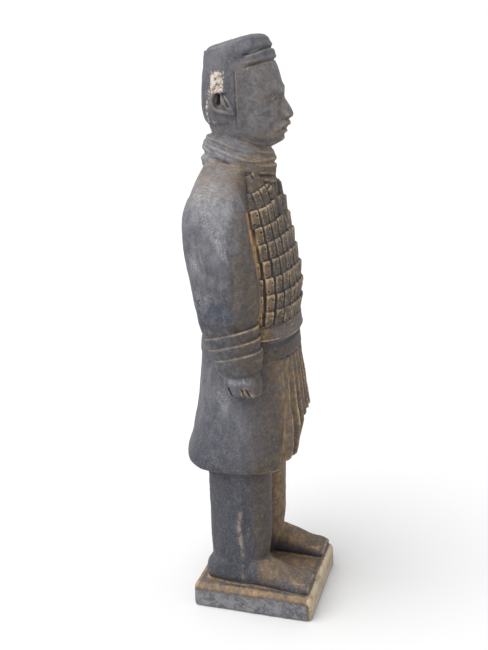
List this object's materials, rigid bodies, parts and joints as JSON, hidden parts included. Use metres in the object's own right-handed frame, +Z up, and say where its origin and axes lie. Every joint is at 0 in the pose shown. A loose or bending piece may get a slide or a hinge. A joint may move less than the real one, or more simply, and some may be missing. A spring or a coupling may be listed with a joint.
{
  "type": "terracotta warrior statue",
  "caption": "Standing armoured foot soldier in smoked fired clay, with lamellar chest armour, neck scarf, pleated robe and a low square plinth.",
  "frame": {"origin": "centre of the plinth's flat underside, on the surface the statue stands on", "axes": "+Z up along the standing figure, which faces -Y with its left arm towards +X"},
  "size_m": [0.1742, 0.144, 0.6],
  "materials": {
    "smoked_clay": "matte"
  },
  "bodies": {
    "root": {"warrior_statue": "smoked_clay"}
  },
  "joints": []
}
